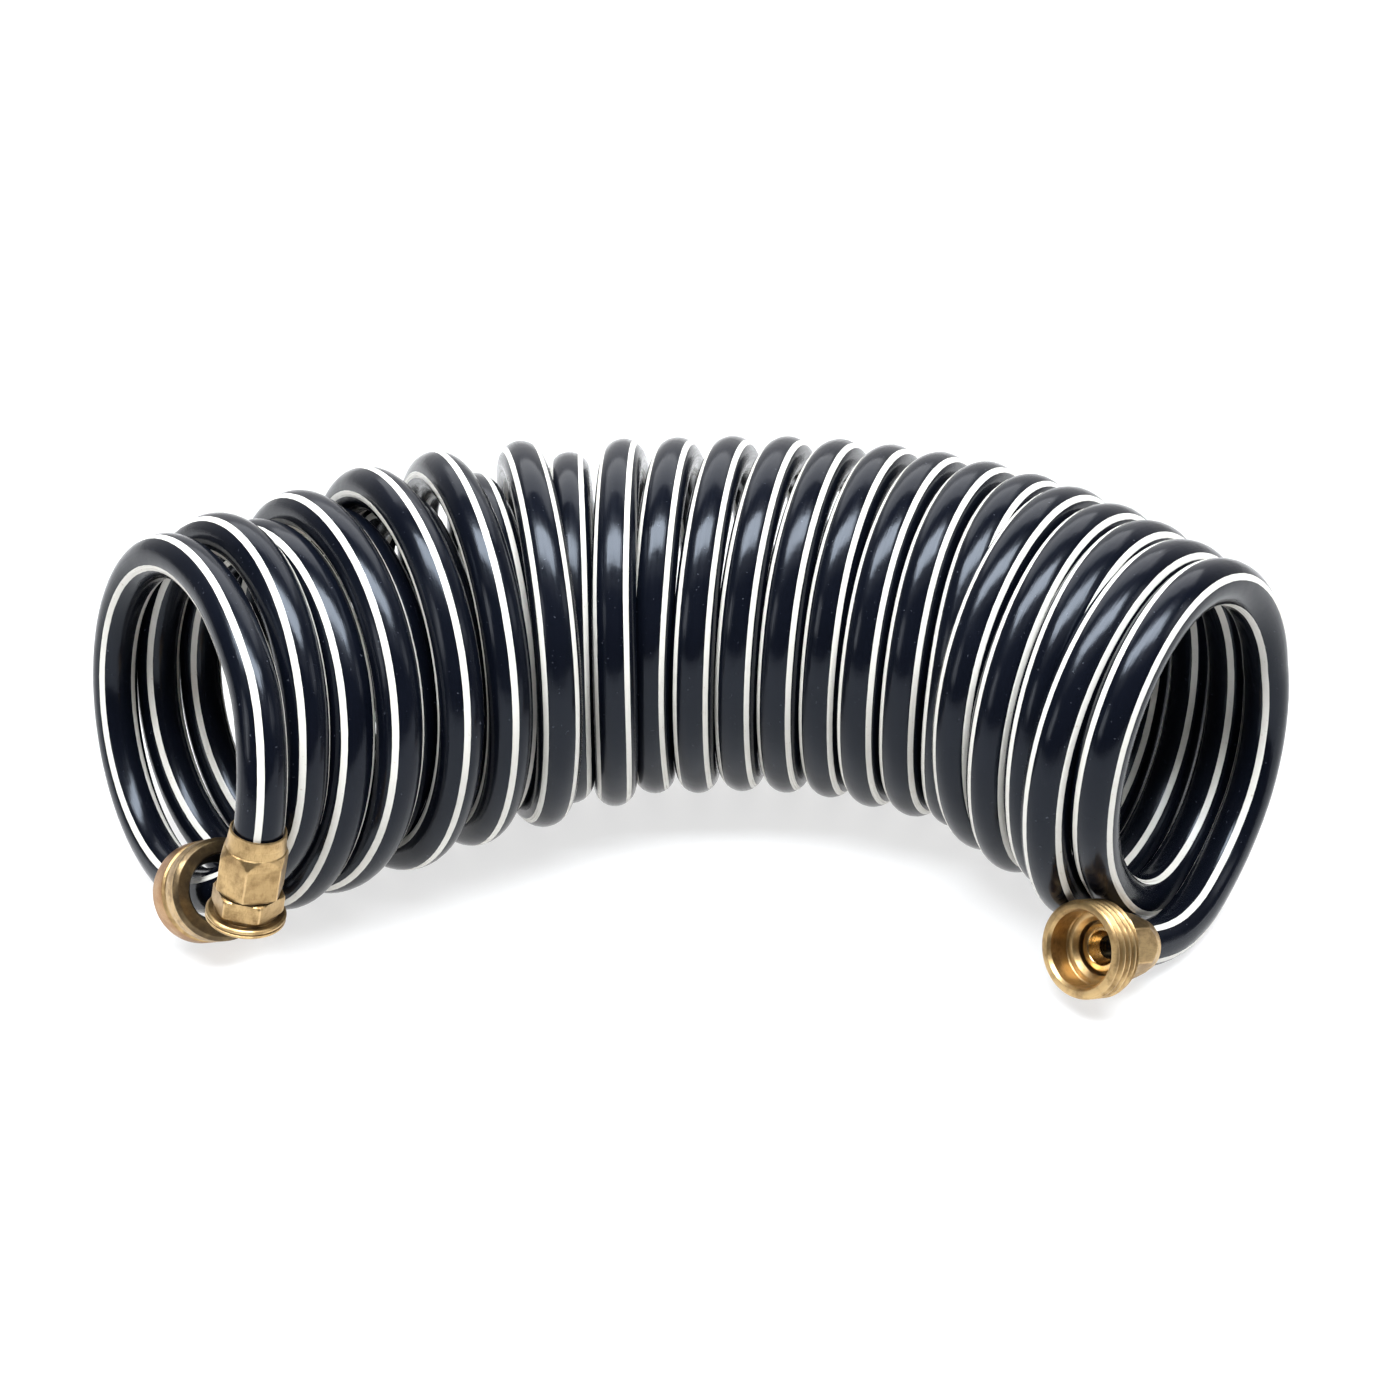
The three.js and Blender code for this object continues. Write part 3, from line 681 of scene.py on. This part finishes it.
spun("stem_sleeve", sleeve, STEM_FACE, STEM_AXIS, BRASS, "stem_clamp_sleeve")
spun(
    "stem_clamp", clamp_nut(9.6, 19.6, STEM_CLAMP_HEX, STEM_LENGTH, 30), STEM_FACE, STEM_AXIS,
    BRASS_CLAMP, "stem_clamp_nut", smooth=18,
)

# The loose nut and its washer, on the first loop. Height zero is the nut's middle.
nut_place, nut_axis = loop_point(NUT_ANGLE), loop_direction(NUT_ANGLE)
half = NUT_LENGTH / 2
nut_profile = softened([
    (NUT_RADIUS - 0.5, -half), (NUT_RADIUS, -half + 0.5), (NUT_RADIUS, -1.2),
    (NUT_RADIUS - 0.7, -0.5), (NUT_RADIUS - 0.7, 1.3), (NUT_RADIUS, 2),
    (NUT_RADIUS, half - 1.1), (NUT_RADIUS - 1.1, half), (10.4, half), (9.9, half - 0.5),
    (9.9, half - 2.4), (12.7, half - 2.4), (12.7, half - 3.6),
], 0.15)
nut_profile += [
    (thread_radius(height, NUT_THREAD_MINOR, NUT_THREAD_MAJOR, 0.2, True), height)
    for height in np.arange(half - 3.8, -half + 1.2, -NUT_THREAD_STEP)
]
nut_profile += [(13.5, -half + 0.9), (13.7, -half)]
spun("nut", nut_profile, nut_place, nut_axis, BRASS_NUT, "swivel_nut", "nut")
washer_profile = softened([(7.95, -1.5), (12.4, -1.5), (12.4, 1.5), (7.95, 1.5)], 0.35)
spun("washer", washer_profile, nut_place, nut_axis, RUBBER, "nut_washer", "nut")

# Coupling with the outside thread.
socket_profile = [(10.9, 0.25), (11.1, 0), (12.25, 0), (12.75, 0.2), (13.15, 0.5), (13.15, 0.8)]
for height in np.arange(0.95, THREAD_LENGTH - 0.3, THREAD_STEP):
    lead = 12.3 + 1.6 * (height - 0.6)
    runout = 12.3 + 1.1 * (THREAD_LENGTH - 0.2 - height)
    crest = np.minimum(thread_radius(height, THREAD_MINOR, SOCKET_RADIUS), min(lead, runout))
    socket_profile.append((np.maximum(crest, THREAD_MINOR), height))
socket_profile += [
    (12.2, THREAD_LENGTH), (11.9, THREAD_LENGTH + 0.3), (8.8, THREAD_LENGTH + 1.6),
    (8.6, THREAD_LENGTH + 1.7), (8.6, THREAD_LENGTH + 2.1), (7.2, THREAD_LENGTH + 2.3),
    (7.2, THREAD_LENGTH + 5), (5.2, THREAD_LENGTH + 5), (5.2, THREAD_LENGTH + 1.6),
    (7.6, THREAD_LENGTH + 1.6), (7.6, 9.15), (7.75, 9), (8.5, 7.75), (8.75, 7.6), (10.15, 7.6),
    (10.4, 7.3), (10.4, 0.9),
]
spun("socket", socket_profile, SOCKET_FACE, SOCKET_AXIS, BRASS, "threaded_socket")
socket_insert = [
    (3.2, 12.6), (4.3, 11.3), (4.7, 9.75), (4.9, 9.6), (6.2, 9.6), (6.5, 9.75), (6.6, 10.0),
    (6.6, 11.3), (4.9, 11.3), (4.9, 15), *barb(15, 24.5), (3.2, 24.5),
]
spun("socket_insert", socket_insert, SOCKET_FACE, SOCKET_AXIS, BRASS_BRIGHT, "socket_hose_barb")
sleeve = softened([(6.75, 15.6), (7.2, 15.6), (7.2, 21.6), (6.75, 21.6)], 0.1)
spun("socket_sleeve", sleeve, SOCKET_FACE, SOCKET_AXIS, BRASS, "socket_clamp_sleeve")
spun(
    "socket_clamp", clamp_nut(12.7, 20.4, SOCKET_CLAMP_HEX, SOCKET_LENGTH, 0), SOCKET_FACE,
    SOCKET_AXIS, BRASS_CLAMP_EVEN, "socket_clamp_nut", smooth=18,
)


# ---- Floor and light, in metres ----
FLOOR_REACH = 6.0


def floor_material():
    """Pale grey that gives off most of its own light, so that shadows on it stay faint."""
    n = Nodes("floor")
    place = n.add("ShaderNodeTexCoord")
    grain = n.noise(place.outputs["Object"], 60.0, 3.0)
    n.link(n.mix(grain, (0.30, 0.30, 0.303), (0.33, 0.33, 0.33)), "Base Color")
    n.set(Roughness=0.75, Specular_IOR_Level=0.2)
    n.set(Emission_Color=(1.0, 1.0, 1.0, 1.0), Emission_Strength=0.70)
    return n.material


floor_mesh = bpy.data.meshes.new("floor")
floor_corners = [(x * FLOOR_REACH, y * FLOOR_REACH, 0) for x, y in ((-1, -1), (1, -1), (1, 1), (-1, 1))]
floor_mesh.from_pydata(floor_corners, [], [(0, 1, 2, 3)])
floor_mesh.materials.append(floor_material())
floor = bpy.data.objects.new("floor", floor_mesh)
bpy.context.scene.collection.objects.link(floor)


def softbox(name, place, target, width, height, power, colour=(1.0, 1.0, 1.0)):
    """A rectangular light turned towards the target."""
    data = bpy.data.lights.new(name, "AREA")
    data.shape = "RECTANGLE"
    data.size, data.size_y = width, height
    data.energy = power
    data.color = colour
    light = bpy.data.objects.new(name, data)
    bpy.context.scene.collection.objects.link(light)
    light.location = Vector(place)
    light.rotation_mode = "QUATERNION"
    light.rotation_quaternion = (Vector(target) - light.location).to_track_quat("-Z", "Y")


softbox("overhead", (0.0, -0.22, 1.25), (0.0, 0.0, 0.0), 1.5, 0.46, 46.0, (0.92, 0.96, 1.0))
softbox("broad", (0.0, -0.30, 1.27), (0.0, 0.0, 0.0), 2.4, 1.1, 5.0, (1.0, 0.97, 0.93))
softbox("back_wash", (0.0, 2.0, 1.9), (0.0, 1.7, 0.0), 3.6, 2.0, 50.0)
softbox("left_key", (-1.1, -0.75, 0.55), (0.0, 0.0, 0.05), 0.35, 0.5, 2.2, (1.0, 0.97, 0.93))
softbox("right_fill", (1.4, -0.2, 0.8), (0.0, 0.0, 0.05), 0.5, 0.5, 1.6, (1.0, 0.98, 0.95))

world = bpy.data.worlds.new("studio")
world.use_nodes = True
bpy.context.scene.world = world
world_nodes = world.node_tree.nodes
world_links = world.node_tree.links
# The camera sees a white backdrop. The object sees white behind it and a dim room elsewhere.
backdrop = world_nodes["Background"]
backdrop.inputs["Color"].default_value = (0.92, 0.92, 0.93, 1.0)
sky = world_nodes.new("ShaderNodeSeparateXYZ")
world_links.new(world_nodes.new("ShaderNodeTexCoord").outputs["Generated"], sky.inputs["Vector"])
behind = world_nodes.new("ShaderNodeMapRange")
for socket, value in (("From Min", 0.2), ("From Max", 0.95), ("To Min", 0.07), ("To Max", 0.95)):
    behind.inputs[socket].default_value = value
world_links.new(sky.outputs["Y"], behind.inputs["Value"])
light_path = world_nodes.new("ShaderNodeLightPath")
strength = world_nodes.new("ShaderNodeMapRange")
strength.inputs["To Max"].default_value = 1.0
world_links.new(behind.outputs["Result"], strength.inputs["To Min"])
world_links.new(light_path.outputs["Is Camera Ray"], strength.inputs["Value"])
world_links.new(strength.outputs["Result"], backdrop.inputs["Strength"])
bpy.context.scene.view_settings.view_transform = "Standard"
